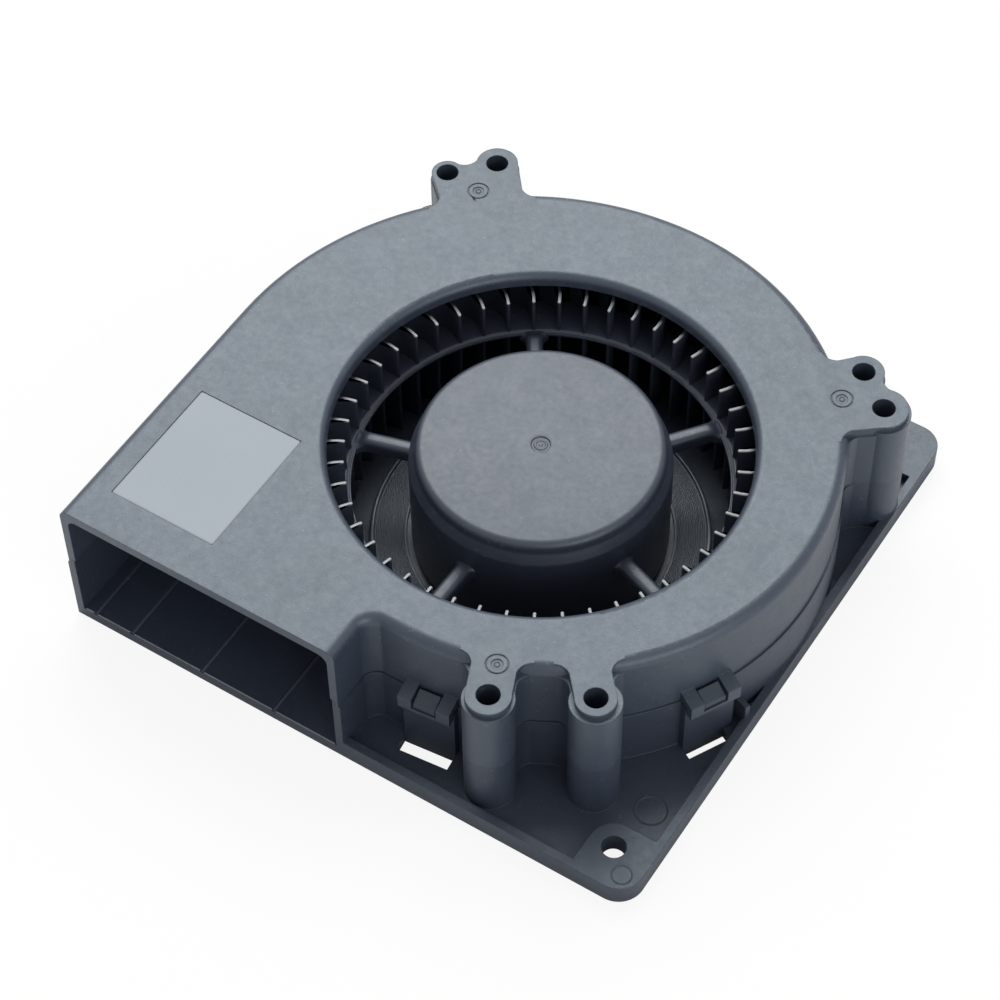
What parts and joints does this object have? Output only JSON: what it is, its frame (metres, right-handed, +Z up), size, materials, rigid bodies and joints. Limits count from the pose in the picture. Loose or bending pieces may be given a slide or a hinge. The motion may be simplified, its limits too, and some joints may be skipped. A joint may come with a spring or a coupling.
{
  "type": "dc blower fan",
  "caption": "Flat centrifugal blower: a forward-curved impeller on a brushless outer-rotor motor in a snap-together spiral housing with a square mounting plate and a side outlet.",
  "frame": {"origin": "centre of the square plate on its underside", "axes": "+Z up out of the intake along the fan's axis, -Y out of the outlet, +X to the right as seen from the outlet"},
  "size_m": [0.12, 0.12, 0.032],
  "materials": {
    "base_plastic": "fine spark texture, satin black",
    "cover_plastic": "fine spark texture, satin black",
    "label_film": "satin silver film, blank",
    "impeller_plastic": "satin black",
    "rotor_steel": "zinc-plated pressed steel",
    "magnet": "bonded ferrite",
    "brass": "turned",
    "ground_steel": "ground and hardened",
    "spring_steel": "drawn wire and stamped strip",
    "bearing_steel": "ground",
    "ball_steel": "polished",
    "lamination": "stacked silicon steel",
    "insulator": "moulded nylon",
    "copper_wire": "enamelled copper wire",
    "board": "green solder mask",
    "tin": "tinned",
    "chip": "moulded epoxy",
    "can": "drawn can"
  },
  "bodies": {
    "housing": {"base": "base_plastic", "cover": "cover_plastic", "label": "label_film", "bearing_tube": "brass", "low_outer_ring": "bearing_steel", "high_outer_ring": "bearing_steel", "stator_core": "lamination", "low_insulator": "insulator", "high_insulator": "insulator", "windings": "copper_wire", "circuit_board": "board", "terminal_pins": "tin", "position_sensor": "chip", "driver_chip": "chip", "capacitor": "can"},
    "rotor": {"impeller": "impeller_plastic", "rotor_cup": "rotor_steel", "ring_magnet": "magnet", "shaft_bushing": "brass", "shaft": "ground_steel", "retaining_clip": "spring_steel", "preload_spring": "spring_steel", "low_inner_ring": "bearing_steel", "high_inner_ring": "bearing_steel"},
    "low_balls": {"low_ball_set": "ball_steel"},
    "high_balls": {"high_ball_set": "ball_steel"}
  },
  "joints": [
    {"name": "rotor_spin", "type": "hinge", "parent": "housing", "child": "rotor", "pos_m": [0.0048, -0.0002, 0.016], "axis": [0, 0, 1], "continuous": true},
    {"name": "low_balls_spin", "type": "hinge", "parent": "housing", "child": "low_balls", "pos_m": [0.0048, -0.0002, 0.0052], "axis": [0, 0, 1], "continuous": true},
    {"name": "high_balls_spin", "type": "hinge", "parent": "housing", "child": "high_balls", "pos_m": [0.0048, -0.0002, 0.019], "axis": [0, 0, 1], "continuous": true}
  ],
  "couplings": [
    {"joint": "low_balls_spin", "follows": "rotor_spin", "ratio": 0.3636},
    {"joint": "high_balls_spin", "follows": "rotor_spin", "ratio": 0.3636}
  ]
}
